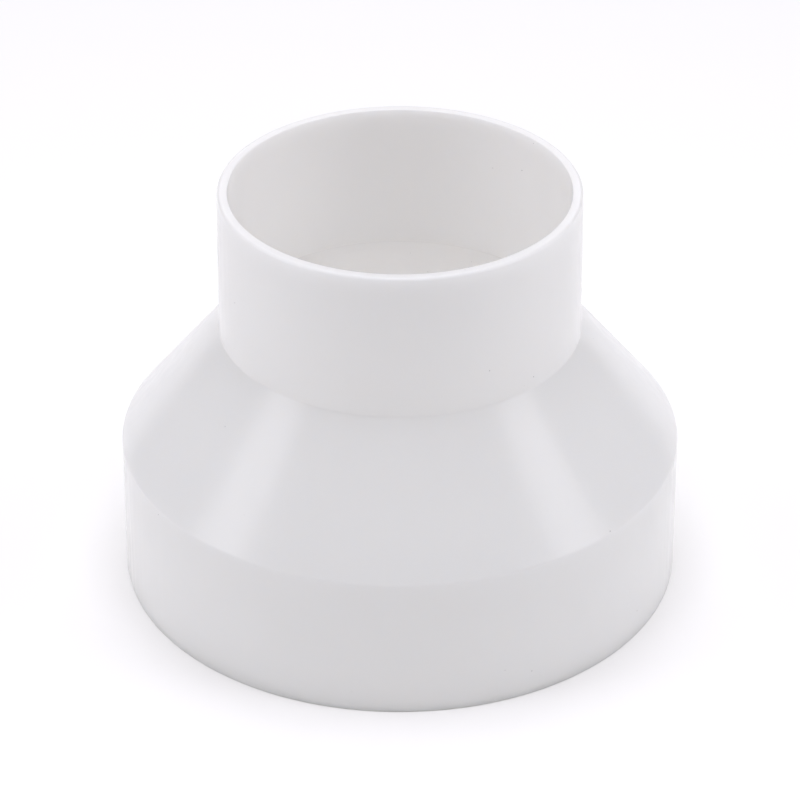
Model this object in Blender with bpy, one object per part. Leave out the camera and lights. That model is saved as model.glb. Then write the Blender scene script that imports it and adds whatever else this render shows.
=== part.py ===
"""Plain-socket reducer for plastic pipe, moulded in one piece.

A small socket stands on a straight cone, which widens into a large socket
below. The wall follows the outside all the way, so the fitting is open from
end to end. Both ends are plain cylinders for solvent-welded pipe. Outside and
inside widen a little towards the large mouth, as on a moulding that is drawn
off one core.

Metres, +Z up. The origin is the centre of the large mouth's rim, on the plane
that the fitting stands on.
"""

import math

import bmesh
import bpy
from mathutils import Vector

MM = 0.001

# Heights of the three stretches, from the large mouth up.
LARGE_SOCKET_HEIGHT = 44.1 * MM
CONE_HEIGHT = 37.1 * MM
SMALL_SOCKET_HEIGHT = 44.5 * MM

# Outer radii. Each socket is slightly wider at its lower end.
LARGE_MOUTH_RADIUS = 84.0 * MM
SHOULDER_RADIUS = 83.6 * MM
NECK_RADIUS = 53.6 * MM
SMALL_MOUTH_RADIUS = 53.0 * MM

# Walls, measured square to the surface.
LARGE_SOCKET_WALL = 3.5 * MM
CONE_WALL = 3.0 * MM
SMALL_SOCKET_WALL = 3.0 * MM

# Corner roundings.
SMALL_LIP_OUTER_ROUND = 1.0 * MM
SMALL_LIP_INNER_ROUND = 0.3 * MM
NECK_FILLET = 1.2 * MM
SHOULDER_ROUND = 1.6 * MM
LARGE_LIP_OUTER_ROUND = 0.6 * MM
LARGE_LIP_INNER_ROUND = 1.2 * MM
SOCKET_ROOT_FILLET = 1.5 * MM
INNER_CREASE_ROUND = 0.6 * MM

SEGMENTS_ROUND_AXIS = 96
ARC_STEP = math.radians(30)
SHARP_EDGE_ANGLE = math.radians(25)

WHITE_PVC = (0.80, 0.80, 0.81, 1.0)
PVC_ROUGHNESS = 0.35


def cone_half_angle():
    """Angle between the cone's side and the axis."""
    return math.atan2(SHOULDER_RADIUS - NECK_RADIUS, CONE_HEIGHT)


def inner_cone_height(bore_radius):
    """Height at which the inner cone surface has the given radius."""
    angle = cone_half_angle()
    neck_height = LARGE_SOCKET_HEIGHT + CONE_HEIGHT
    outer_radius = bore_radius + CONE_WALL / math.cos(angle)
    return neck_height - (outer_radius - NECK_RADIUS) / math.tan(angle)


def section_corners():
    """Corners of the wall's section as (radius, height, rounding).

    They run down the outside from the small lip to the large mouth, and back
    up the inside.
    """
    neck_height = LARGE_SOCKET_HEIGHT + CONE_HEIGHT
    top = neck_height + SMALL_SOCKET_HEIGHT
    large_bore_mouth = LARGE_MOUTH_RADIUS - LARGE_SOCKET_WALL
    large_bore_root = SHOULDER_RADIUS - LARGE_SOCKET_WALL
    small_bore_root = NECK_RADIUS - SMALL_SOCKET_WALL
    small_bore_mouth = SMALL_MOUTH_RADIUS - SMALL_SOCKET_WALL
    return [
        (small_bore_mouth, top, SMALL_LIP_INNER_ROUND),
        (SMALL_MOUTH_RADIUS, top, SMALL_LIP_OUTER_ROUND),
        (NECK_RADIUS, neck_height, NECK_FILLET),
        (SHOULDER_RADIUS, LARGE_SOCKET_HEIGHT, SHOULDER_ROUND),
        (LARGE_MOUTH_RADIUS, 0.0, LARGE_LIP_OUTER_ROUND),
        (large_bore_mouth, 0.0, LARGE_LIP_INNER_ROUND),
        (large_bore_root, inner_cone_height(large_bore_root), SOCKET_ROOT_FILLET),
        (small_bore_root, inner_cone_height(small_bore_root), INNER_CREASE_ROUND),
    ]


def rounded_corner(before, corner, after, radius):
    """Points of the arc that rounds one corner of an outline."""
    to_before = (before - corner).normalized()
    to_after = (after - corner).normalized()
    half_opening = to_before.angle(to_after) / 2
    centre_way = (to_before + to_after).normalized()
    centre = corner + centre_way * (radius / math.sin(half_opening))
    tangent_length = radius / math.tan(half_opening)
    start = corner + to_before * tangent_length - centre
    sweep = start.angle_signed(corner + to_after * tangent_length - centre)
    steps = max(2, math.ceil(abs(sweep) / ARC_STEP))
    points = []
    for step in range(steps + 1):
        turn = -sweep * step / steps
        x = start.x * math.cos(turn) - start.y * math.sin(turn)
        y = start.x * math.sin(turn) + start.y * math.cos(turn)
        points.append(centre + Vector((x, y)))
    return points


def section_outline():
    """The closed outline of the wall, with every corner rounded."""
    corners = section_corners()
    places = [Vector(corner[:2]) for corner in corners]
    outline = []
    for index, corner in enumerate(corners):
        before = places[index - 1]
        after = places[(index + 1) % len(places)]
        outline += rounded_corner(before, places[index], after, corner[2])
    return outline


def turned_mesh(name, outline):
    """A closed mesh made by turning an outline once round the Z axis."""
    shape = bmesh.new()
    corners = [shape.verts.new((point.x, 0.0, point.y)) for point in outline]
    following = corners[1:] + corners[:1]
    edges = [shape.edges.new(pair) for pair in zip(corners, following)]
    bmesh.ops.spin(
        shape,
        geom=corners + edges,
        cent=(0.0, 0.0, 0.0),
        axis=(0.0, 0.0, 1.0),
        angle=math.tau,
        steps=SEGMENTS_ROUND_AXIS,
        use_merge=True,
    )
    bmesh.ops.recalc_face_normals(shape, faces=shape.faces)
    mesh = bpy.data.meshes.new(name)
    shape.to_mesh(mesh)
    shape.free()
    mesh.shade_smooth()
    mesh.set_sharp_from_angle(angle=SHARP_EDGE_ANGLE)
    return mesh


def white_pvc():
    """Semi-gloss white moulded plastic."""
    material = bpy.data.materials.new("white_pvc")
    material.use_nodes = True
    shader = material.node_tree.nodes["Principled BSDF"]
    shader.inputs["Base Color"].default_value = WHITE_PVC
    shader.inputs["Roughness"].default_value = PVC_ROUGHNESS
    shader.inputs["Metallic"].default_value = 0.0
    return material


def make_reducer_body():
    """The fitting: small socket, cone and large socket in one wall."""
    mesh = turned_mesh("reducer_body", section_outline())
    mesh.materials.append(white_pvc())
    body = bpy.data.objects.new("reducer_body", mesh)
    bpy.context.scene.collection.objects.link(body)
    return body


def clear_scene():
    """Remove whatever the open file already holds."""
    for existing in list(bpy.data.objects):
        bpy.data.objects.remove(existing, do_unlink=True)


def main():
    clear_scene()
    make_reducer_body()


main()
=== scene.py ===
"""The look of a white plastic pipe reducer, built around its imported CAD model.

One moulding: small socket, cone and large socket, open right through. The CAD
solid is replaced by a finer turned shell in semi-gloss white plastic.
"""

import math

import bmesh
import bpy
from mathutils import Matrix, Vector


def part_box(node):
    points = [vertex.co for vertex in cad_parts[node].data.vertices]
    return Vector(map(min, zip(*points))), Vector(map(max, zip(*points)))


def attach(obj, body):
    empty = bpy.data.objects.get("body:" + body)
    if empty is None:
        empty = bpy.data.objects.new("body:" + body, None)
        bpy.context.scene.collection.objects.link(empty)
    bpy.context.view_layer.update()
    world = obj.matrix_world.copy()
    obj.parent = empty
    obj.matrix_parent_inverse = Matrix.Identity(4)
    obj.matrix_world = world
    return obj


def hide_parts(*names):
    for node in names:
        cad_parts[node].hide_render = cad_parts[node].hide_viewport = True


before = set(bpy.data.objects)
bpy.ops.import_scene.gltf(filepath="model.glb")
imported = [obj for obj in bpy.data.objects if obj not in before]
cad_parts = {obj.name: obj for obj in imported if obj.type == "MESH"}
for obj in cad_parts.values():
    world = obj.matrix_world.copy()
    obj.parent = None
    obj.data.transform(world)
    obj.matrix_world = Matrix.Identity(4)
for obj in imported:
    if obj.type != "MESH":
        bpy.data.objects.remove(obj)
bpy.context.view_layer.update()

MM = 0.001
NODE = "reducer_body"

# The section of the wall. The whole height and the widest radius are the CAD
# model's own.
node_low, node_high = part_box(NODE)
TOTAL_HEIGHT = node_high.z
LARGE_MOUTH_RADIUS = node_high.x
LARGE_SOCKET_HEIGHT = 44.1 * MM
CONE_HEIGHT = 37.1 * MM
SHOULDER_RADIUS = 83.6 * MM
NECK_RADIUS = 53.6 * MM
SMALL_MOUTH_RADIUS = 53.0 * MM
LARGE_SOCKET_WALL = 3.5 * MM
CONE_WALL = 3.0 * MM
SMALL_SOCKET_WALL = 3.0 * MM

SMALL_LIP_OUTER_ROUND = 1.0 * MM
SMALL_LIP_INNER_ROUND = 0.3 * MM
NECK_FILLET = 1.2 * MM
SHOULDER_ROUND = 1.6 * MM
LARGE_LIP_OUTER_ROUND = 0.6 * MM
LARGE_LIP_INNER_ROUND = 1.2 * MM
SOCKET_ROOT_FILLET = 1.5 * MM
INNER_CREASE_ROUND = 0.6 * MM

# How finely the shell is divided: round the axis, round each corner of the
# section and along its straights.
SEGMENTS_ROUND_AXIS = 360
ARC_STEP = math.radians(9)
LEAST_ARC_STEPS = 4
STRAIGHT_STEP = 6.0 * MM

# Warm white, because light that bounces about inside the fitting turns warmer.
PLASTIC_WHITE = (0.990, 0.973, 0.928)
PLASTIC_MOTTLE = (0.982, 0.965, 0.920)
SPECK_GREY = (0.30, 0.28, 0.26)
GLOSS_ROUGHNESS = 0.18
WORN_ROUGHNESS = 0.25
PLASTIC_IOR = 1.53
# How deep light travels in the wall: red a little further than blue.
GLOW_BY_COLOUR = (1.0, 0.9, 0.8)
GLOW_SHARE = 0.8
GLOW_DEPTH = 25 * MM

# Colour and gloss change between these two values of their noise, and the
# dark inclusions are solid over this share of their radius.
MOTTLE_NOISE_RANGE = (0.35, 0.65)
DRAW_MARK_NOISE_RANGE = (0.3, 0.7)
SPECK_SOLID_SHARE = 0.6

MOTTLE_SIZE = 25 * MM
MOTTLE_DETAIL = 3.0
RIPPLE_SIZE = 9 * MM
RIPPLE_HEIGHT = 0.02 * MM
GRAIN_SIZE = 0.6 * MM
GRAIN_HEIGHT = 0.002 * MM
DRAW_MARK_SPACING = 3 * MM
DRAW_MARK_LENGTH = 60 * MM
SPECK_SPACING = 8 * MM
SPECK_RADIUS = 0.2 * MM

PURE_WHITE = (1.0, 1.0, 1.0, 1.0)
FLOOR_WHITE = (0.90, 0.90, 0.90)
FLOOR_SHADE = (0.885, 0.885, 0.885)
FLOOR_MOTTLE_SIZE = 0.4
FLOOR_ROUGHNESS = 0.9
FLOOR_RADIUS = 1.6
FLOOR_SEGMENTS = 128
# The floor's own glow is faint out to this distance from the fitting's axis,
# and grows from there to the floor's edge.
FLOOR_GLOW_START = 0.6
FLOOR_GLOW = 0.07
FLOOR_EDGE_GLOW = 0.9

# Slightly violet, to balance the warm white of the plastic.
LIGHTS_TINT = (0.996, 0.975, 1.030)
LIGHTS_AIM = Vector((0.0, 0.0, 0.06))
LIGHTS_DISTANCE = 1.5

# Lifts the middle tones, so that white plastic stays pale against a white floor.
VIEW_GAMMA = 1.3

CAMERA_PITCH = math.radians(31.86)
CAMERA_DISTANCE = 0.9943
CAMERA_TARGET = Vector((0.0, 0.0, 0.0536))
CAMERA_LENS = 148.9
CAMERA_SENSOR = 36.0


def cone_half_angle():
    """Angle between the cone's side and the axis."""
    return math.atan2(SHOULDER_RADIUS - NECK_RADIUS, CONE_HEIGHT)


def inner_cone_height(bore_radius):
    """Height at which the inner cone surface has the given radius."""
    angle = cone_half_angle()
    neck_height = LARGE_SOCKET_HEIGHT + CONE_HEIGHT
    outer_radius = bore_radius + CONE_WALL / math.cos(angle)
    return neck_height - (outer_radius - NECK_RADIUS) / math.tan(angle)


def section_corners():
    """Corners of the wall's section as (radius, height, rounding)."""
    neck_height = LARGE_SOCKET_HEIGHT + CONE_HEIGHT
    large_bore_mouth = LARGE_MOUTH_RADIUS - LARGE_SOCKET_WALL
    large_bore_root = SHOULDER_RADIUS - LARGE_SOCKET_WALL
    small_bore_root = NECK_RADIUS - SMALL_SOCKET_WALL
    small_bore_mouth = SMALL_MOUTH_RADIUS - SMALL_SOCKET_WALL
    return [
        (small_bore_mouth, TOTAL_HEIGHT, SMALL_LIP_INNER_ROUND),
        (SMALL_MOUTH_RADIUS, TOTAL_HEIGHT, SMALL_LIP_OUTER_ROUND),
        (NECK_RADIUS, neck_height, NECK_FILLET),
        (SHOULDER_RADIUS, LARGE_SOCKET_HEIGHT, SHOULDER_ROUND),
        (LARGE_MOUTH_RADIUS, 0.0, LARGE_LIP_OUTER_ROUND),
        (large_bore_mouth, 0.0, LARGE_LIP_INNER_ROUND),
        (large_bore_root, inner_cone_height(large_bore_root), SOCKET_ROOT_FILLET),
        (small_bore_root, inner_cone_height(small_bore_root), INNER_CREASE_ROUND),
    ]


def rounded_corner(before, corner, after, radius):
    """Points of the arc that rounds one corner of an outline."""
    to_before = (before - corner).normalized()
    to_after = (after - corner).normalized()
    half_opening = to_before.angle(to_after) / 2
    centre_way = (to_before + to_after).normalized()
    centre = corner + centre_way * (radius / math.sin(half_opening))
    tangent_length = radius / math.tan(half_opening)
    start = corner + to_before * tangent_length - centre
    sweep = start.angle_signed(corner + to_after * tangent_length - centre)
    steps = max(LEAST_ARC_STEPS, math.ceil(abs(sweep) / ARC_STEP))
    points = []
    for step in range(steps + 1):
        turn = -sweep * step / steps
        x = start.x * math.cos(turn) - start.y * math.sin(turn)
        y = start.x * math.sin(turn) + start.y * math.cos(turn)
        points.append(centre + Vector((x, y)))
    return points


def section_outline():
    """The closed outline of the wall, rounded, with points along its straights."""
    corners = section_corners()
    places = [Vector(corner[:2]) for corner in corners]
    arcs = []
    for index, corner in enumerate(corners):
        after = places[(index + 1) % len(places)]
        arcs.append(rounded_corner(places[index - 1], places[index], after, corner[2]))
    outline = []
    for index, arc in enumerate(arcs):
        outline += arc
        following = arcs[(index + 1) % len(arcs)][0]
        stretches = max(1, round((following - arc[-1]).length / STRAIGHT_STEP))
        for stretch in range(1, stretches):
            outline.append(arc[-1].lerp(following, stretch / stretches))
    return outline


def turned_mesh(name, outline):
    """A closed mesh made by turning an outline once round the Z axis."""
    shape = bmesh.new()
    corners = [shape.verts.new((point.x, 0.0, point.y)) for point in outline]
    following = corners[1:] + corners[:1]
    edges = [shape.edges.new(pair) for pair in zip(corners, following)]
    bmesh.ops.spin(
        shape,
        geom=corners + edges,
        cent=(0.0, 0.0, 0.0),
        axis=(0.0, 0.0, 1.0),
        angle=math.tau,
        steps=SEGMENTS_ROUND_AXIS,
        use_merge=True,
    )
    bmesh.ops.recalc_face_normals(shape, faces=shape.faces)
    mesh = bpy.data.meshes.new(name)
    shape.to_mesh(mesh)
    shape.free()
    mesh.shade_smooth()
    return mesh


class MaterialNodes:
    """A material's node tree, with short ways to add and join nodes."""

    def __init__(self, name):
        self.material = bpy.data.materials.new(name)
        self.material.use_nodes = True
        self.tree = self.material.node_tree
        self.shader = self.tree.nodes["Principled BSDF"]
        self.place = self.tree.nodes.new("ShaderNodeTexCoord").outputs["Object"]

    def join(self, output, target):
        self.tree.links.new(output, target)

    def noise(self, size, detail=2.0, stretch=(1.0, 1.0, 1.0)):
        """Noise with features of the given size, in metres."""
        mapping = self.tree.nodes.new("ShaderNodeMapping")
        mapping.inputs["Scale"].default_value = [part / size for part in stretch]
        texture = self.tree.nodes.new("ShaderNodeTexNoise")
        texture.inputs["Scale"].default_value = 1.0
        texture.inputs["Detail"].default_value = detail
        self.join(self.place, mapping.inputs["Vector"])
        self.join(mapping.outputs["Vector"], texture.inputs["Vector"])
        return texture.outputs["Fac"]

    def spots(self, spacing, radius, solid_share):
        """1 inside sparse round spots, 0 elsewhere, and soft between the two."""
        texture = self.tree.nodes.new("ShaderNodeTexVoronoi")
        texture.inputs["Scale"].default_value = 1.0 / spacing
        self.join(self.place, texture.inputs["Vector"])
        rim = radius / spacing
        return self.remap(texture.outputs["Distance"], (solid_share * rim, rim), (1.0, 0.0))

    def distance(self):
        """Distance from the object's origin, in metres."""
        node = self.tree.nodes.new("ShaderNodeVectorMath")
        node.operation = "LENGTH"
        self.join(self.place, node.inputs[0])
        return node.outputs["Value"]

    def remap(self, value, old_range, new_range=(0.0, 1.0)):
        """A value moved from one range to another and held inside it."""
        node = self.tree.nodes.new("ShaderNodeMapRange")
        node.inputs["From Min"].default_value = old_range[0]
        node.inputs["From Max"].default_value = old_range[1]
        node.inputs["To Min"].default_value = new_range[0]
        node.inputs["To Max"].default_value = new_range[1]
        self.join(value, node.inputs["Value"])
        return node.outputs["Result"]

    def blend(self, share, first, second):
        """Two colours mixed: all first where share is 0, all second where it is 1."""
        node = self.tree.nodes.new("ShaderNodeMix")
        node.data_type = "RGBA"
        self.join(share, node.inputs["Factor"])
        for name, colour in (("A", first), ("B", second)):
            socket = next(part for part in node.inputs if part.name == name and part.type == "RGBA")
            if isinstance(colour, bpy.types.NodeSocket):
                self.join(colour, socket)
            else:
                socket.default_value = colour + (1.0,)
        return next(part for part in node.outputs if part.type == "RGBA")

    def bump(self, height, distance, normal=None):
        """A surface normal tilted by a height map."""
        node = self.tree.nodes.new("ShaderNodeBump")
        node.inputs["Distance"].default_value = distance
        self.join(height, node.inputs["Height"])
        if normal:
            self.join(normal, node.inputs["Normal"])
        return node.outputs["Normal"]


def white_plastic():
    """Semi-gloss white moulded PVC that lets some light through its wall.

    It has a faint mottle, a few dark inclusions, marks along the axis where the
    moulding slid off its core, a shallow ripple and a fine grain.
    """
    nodes = MaterialNodes("moulded_white_pvc")
    shader = nodes.shader.inputs
    mottle = nodes.remap(nodes.noise(MOTTLE_SIZE, MOTTLE_DETAIL), MOTTLE_NOISE_RANGE)
    mottled = nodes.blend(mottle, PLASTIC_WHITE, PLASTIC_MOTTLE)
    specks = nodes.spots(SPECK_SPACING, SPECK_RADIUS, SPECK_SOLID_SHARE)
    nodes.join(nodes.blend(specks, mottled, SPECK_GREY), shader["Base Color"])

    along_axis = (1.0, 1.0, DRAW_MARK_SPACING / DRAW_MARK_LENGTH)
    draw_marks = nodes.noise(DRAW_MARK_SPACING, stretch=along_axis)
    roughness_range = (GLOSS_ROUGHNESS, WORN_ROUGHNESS)
    roughness = nodes.remap(draw_marks, DRAW_MARK_NOISE_RANGE, roughness_range)
    nodes.join(roughness, shader["Roughness"])

    ripple = nodes.bump(nodes.noise(RIPPLE_SIZE), RIPPLE_HEIGHT)
    grain = nodes.bump(nodes.noise(GRAIN_SIZE), GRAIN_HEIGHT, ripple)
    nodes.join(grain, shader["Normal"])

    shader["IOR"].default_value = PLASTIC_IOR
    shader["Subsurface Weight"].default_value = GLOW_SHARE
    shader["Subsurface Radius"].default_value = GLOW_BY_COLOUR
    shader["Subsurface Scale"].default_value = GLOW_DEPTH
    return nodes.material


def white_floor():
    """Matt white board with a barely visible mottle, glowing more towards its edge."""
    nodes = MaterialNodes("floor_white")
    shader = nodes.shader.inputs
    mottled = nodes.blend(nodes.noise(FLOOR_MOTTLE_SIZE), FLOOR_WHITE, FLOOR_SHADE)
    nodes.join(mottled, shader["Base Color"])
    shader["Roughness"].default_value = FLOOR_ROUGHNESS

    glow_stretch = (FLOOR_GLOW_START, FLOOR_RADIUS)
    glow = nodes.remap(nodes.distance(), glow_stretch, (FLOOR_GLOW, FLOOR_EDGE_GLOW))
    nodes.join(glow, shader["Emission Strength"])
    shader["Emission Color"].default_value = PURE_WHITE
    return nodes.material


def make_shell():
    """The whole fitting as one fine turned shell."""
    mesh = turned_mesh("reducer_shell", section_outline())
    mesh.materials.append(white_plastic())
    shell = bpy.data.objects.new("reducer_shell", mesh)
    bpy.context.scene.collection.objects.link(shell)
    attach(shell, "root")
    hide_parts(NODE)


def make_floor():
    """A round plain floor."""
    shape = bmesh.new()
    bmesh.ops.create_circle(shape, cap_ends=True, radius=FLOOR_RADIUS, segments=FLOOR_SEGMENTS)
    mesh = bpy.data.meshes.new("floor")
    shape.to_mesh(mesh)
    shape.free()
    mesh.materials.append(white_floor())
    floor = bpy.data.objects.new("floor", mesh)
    bpy.context.scene.collection.objects.link(floor)


def make_surround():
    """White all round the floor, which only the camera sees and which lights nothing."""
    world = bpy.data.worlds.new("white_surround")
    world.use_nodes = True
    world.node_tree.nodes["Background"].inputs["Color"].default_value = PURE_WHITE
    bpy.context.scene.world = world
    for ray in ("diffuse", "glossy", "transmission", "scatter"):
        setattr(world.cycles_visibility, ray, False)


def softbox(name, azimuth, elevation, width, height, brightness):
    """A soft rectangular light that faces the fitting.

    Angles are in degrees: azimuth 0 is the camera's side and 90 is +X. Boxes of
    the same brightness look equally bright, whatever their size.
    """
    data = bpy.data.lights.new(name, "AREA")
    data.shape = "RECTANGLE"
    data.size = width
    data.size_y = height
    data.color = LIGHTS_TINT
    data.energy = brightness * math.pi * width * height
    around = math.radians(azimuth)
    up = math.radians(elevation)
    way = Vector((math.sin(around) * math.cos(up), -math.cos(around) * math.cos(up), math.sin(up)))
    light = bpy.data.objects.new(name, data)
    light.location = LIGHTS_AIM + way * LIGHTS_DISTANCE
    light.rotation_mode = "QUATERNION"
    light.rotation_quaternion = way.to_track_quat("Z", "Y")
    bpy.context.scene.collection.objects.link(light)


def make_lights():
    """Two boxes overhead, three at each side and one behind, with nothing low in front."""
    softbox("overhead_back", azimuth=180, elevation=78, width=1.1, height=1.0, brightness=2.91)
    softbox("overhead_front", azimuth=0, elevation=76, width=1.1, height=0.6, brightness=3.92)
    for side, sign in (("left", -1), ("right", 1)):
        softbox(f"side_{side}", sign * 75, elevation=25, width=0.5, height=1.0, brightness=2.43)
        softbox(f"high_{side}", sign * 85, elevation=58, width=0.7, height=0.5, brightness=2.24)
        softbox(f"flank_{side}", sign * 106, elevation=42, width=0.6, height=0.6, brightness=1.15)
    softbox("behind", azimuth=180, elevation=35, width=1.0, height=0.7, brightness=1.19)


def make_camera():
    """A long lens, looking down on the small socket."""
    data = bpy.data.cameras.new("camera")
    data.sensor_width = CAMERA_SENSOR
    data.lens = CAMERA_LENS
    camera = bpy.data.objects.new("camera", data)
    bpy.context.scene.collection.objects.link(camera)
    back = Vector((0.0, -math.cos(CAMERA_PITCH), math.sin(CAMERA_PITCH)))
    camera.location = CAMERA_TARGET + back * CAMERA_DISTANCE
    camera.rotation_mode = "QUATERNION"
    camera.rotation_quaternion = (-back).to_track_quat("-Z", "Y")
    bpy.context.scene.camera = camera


make_shell()
make_floor()
make_surround()
make_lights()
make_camera()
bpy.context.scene.view_settings.view_transform = "Standard"
bpy.context.scene.view_settings.gamma = VIEW_GAMMA
